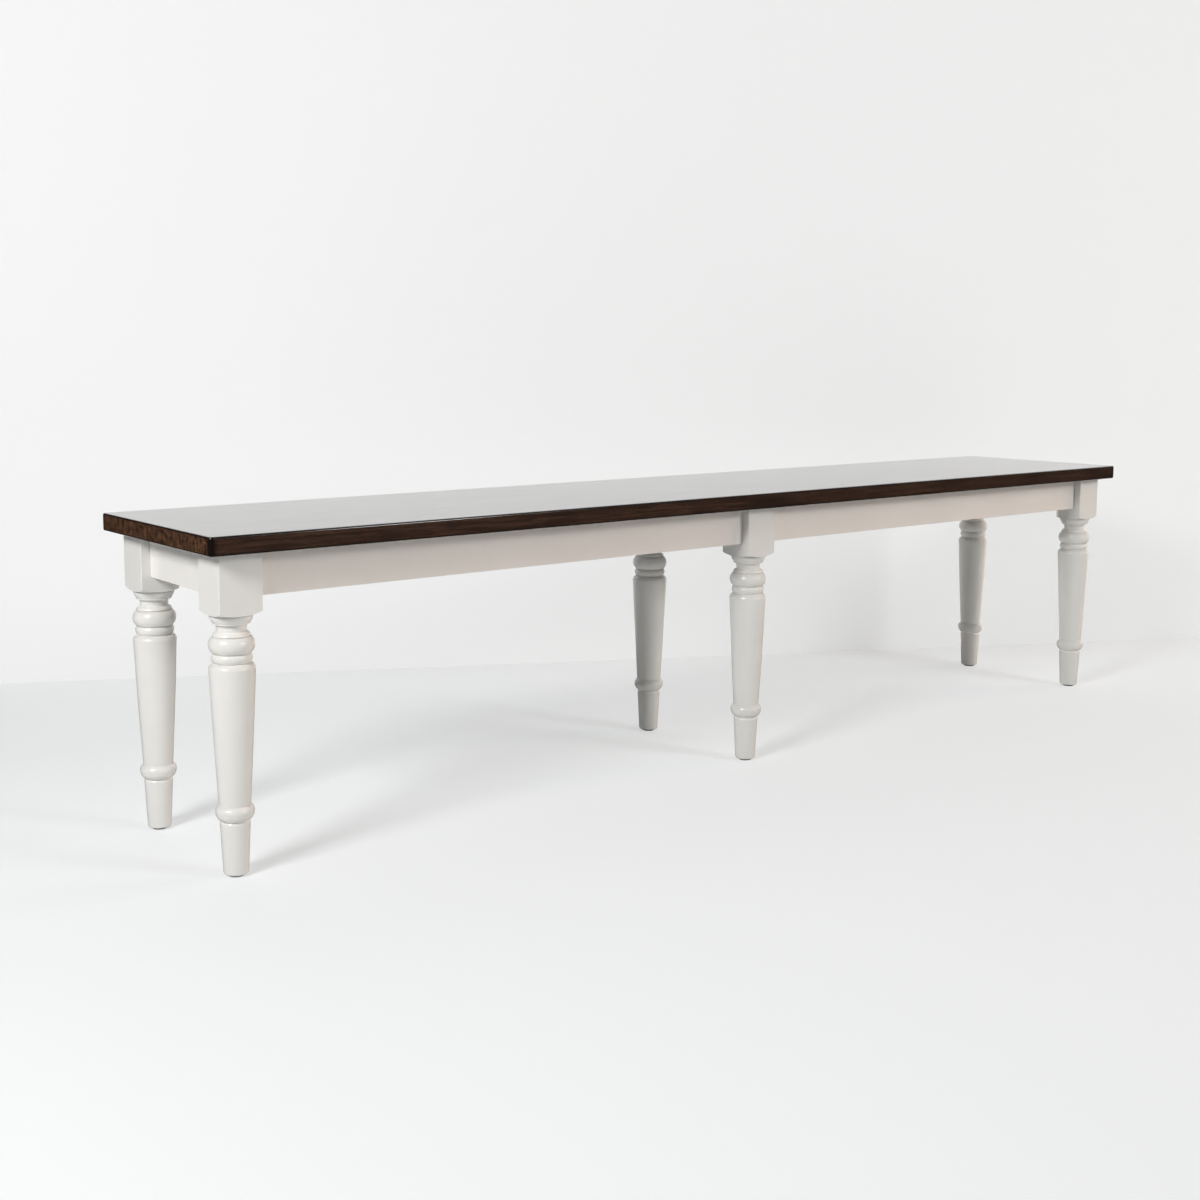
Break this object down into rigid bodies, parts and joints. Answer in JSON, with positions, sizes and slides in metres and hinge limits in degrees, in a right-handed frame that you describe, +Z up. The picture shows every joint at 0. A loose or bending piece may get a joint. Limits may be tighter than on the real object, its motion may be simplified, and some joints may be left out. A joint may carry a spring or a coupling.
{
  "type": "dining bench",
  "caption": "Long dining bench: a dark stained slab seat on painted turned legs, with tenoned aprons, bolted corner blocks and levelling glides.",
  "frame": {"origin": "on the floor, under the middle of the seat", "axes": "+X along the seat to the right, +Y to the rear, +Z up"},
  "size_m": [1.9812, 0.3556, 0.4572],
  "materials": {
    "seat_wood": "dark brown stain under satin lacquer",
    "painted_wood": "satin off-white paint",
    "bare_wood": "planed and unfinished",
    "zinc_steel": "zinc plated",
    "glide_nylon": "moulded dark grey nylon"
  },
  "bodies": {
    "bench": {"seat_top": "seat_wood", "front_left_leg": "painted_wood", "front_middle_leg": "painted_wood", "front_right_leg": "painted_wood", "rear_left_leg": "painted_wood", "rear_middle_leg": "painted_wood", "rear_right_leg": "painted_wood", "front_left_apron": "painted_wood", "front_right_apron": "painted_wood", "rear_left_apron": "painted_wood", "rear_right_apron": "painted_wood", "left_end_apron": "painted_wood", "right_end_apron": "painted_wood", "middle_cross_rail": "painted_wood", "front_left_corner_block": "bare_wood", "front_right_corner_block": "bare_wood", "rear_left_corner_block": "bare_wood", "rear_right_corner_block": "bare_wood", "front_left_hanger_bolt": "zinc_steel", "front_right_hanger_bolt": "zinc_steel", "rear_left_hanger_bolt": "zinc_steel", "rear_right_hanger_bolt": "zinc_steel", "front_left_bolt_washer": "zinc_steel", "front_right_bolt_washer": "zinc_steel", "rear_left_bolt_washer": "zinc_steel", "rear_right_bolt_washer": "zinc_steel", "front_left_bolt_nut": "zinc_steel", "front_right_bolt_nut": "zinc_steel", "rear_left_bolt_nut": "zinc_steel", "rear_right_bolt_nut": "zinc_steel", "front_left_side_apron_screw": "zinc_steel", "front_right_side_apron_screw": "zinc_steel", "rear_left_side_apron_screw": "zinc_steel", "rear_right_side_apron_screw": "zinc_steel", "front_left_end_apron_screw": "zinc_steel", "front_right_end_apron_screw": "zinc_steel", "rear_left_end_apron_screw": "zinc_steel", "rear_right_end_apron_screw": "zinc_steel", "front_left_seat_screw": "zinc_steel", "front_right_seat_screw": "zinc_steel", "rear_left_seat_screw": "zinc_steel", "rear_right_seat_screw": "zinc_steel", "front_rail_seat_screw": "zinc_steel", "rear_rail_seat_screw": "zinc_steel", "front_left_glide_insert": "zinc_steel", "front_middle_glide_insert": "zinc_steel", "front_right_glide_insert": "zinc_steel", "rear_left_glide_insert": "zinc_steel", "rear_middle_glide_insert": "zinc_steel", "rear_right_glide_insert": "zinc_steel"},
    "front_left_foot": {"front_left_glide": "glide_nylon"},
    "front_middle_foot": {"front_middle_glide": "glide_nylon"},
    "front_right_foot": {"front_right_glide": "glide_nylon"},
    "rear_left_foot": {"rear_left_glide": "glide_nylon"},
    "rear_middle_foot": {"rear_middle_glide": "glide_nylon"},
    "rear_right_foot": {"rear_right_glide": "glide_nylon"}
  },
  "joints": [
    {"name": "front_left_glide_height", "type": "slide", "parent": "bench", "child": "front_left_foot", "axis": [0, 0, -1], "range_m": [0, 0.01]},
    {"name": "front_middle_glide_height", "type": "slide", "parent": "bench", "child": "front_middle_foot", "axis": [0, 0, -1], "range_m": [0, 0.01]},
    {"name": "front_right_glide_height", "type": "slide", "parent": "bench", "child": "front_right_foot", "axis": [0, 0, -1], "range_m": [0, 0.01]},
    {"name": "rear_left_glide_height", "type": "slide", "parent": "bench", "child": "rear_left_foot", "axis": [0, 0, -1], "range_m": [0, 0.01]},
    {"name": "rear_middle_glide_height", "type": "slide", "parent": "bench", "child": "rear_middle_foot", "axis": [0, 0, -1], "range_m": [0, 0.01]},
    {"name": "rear_right_glide_height", "type": "slide", "parent": "bench", "child": "rear_right_foot", "axis": [0, 0, -1], "range_m": [0, 0.01]}
  ]
}
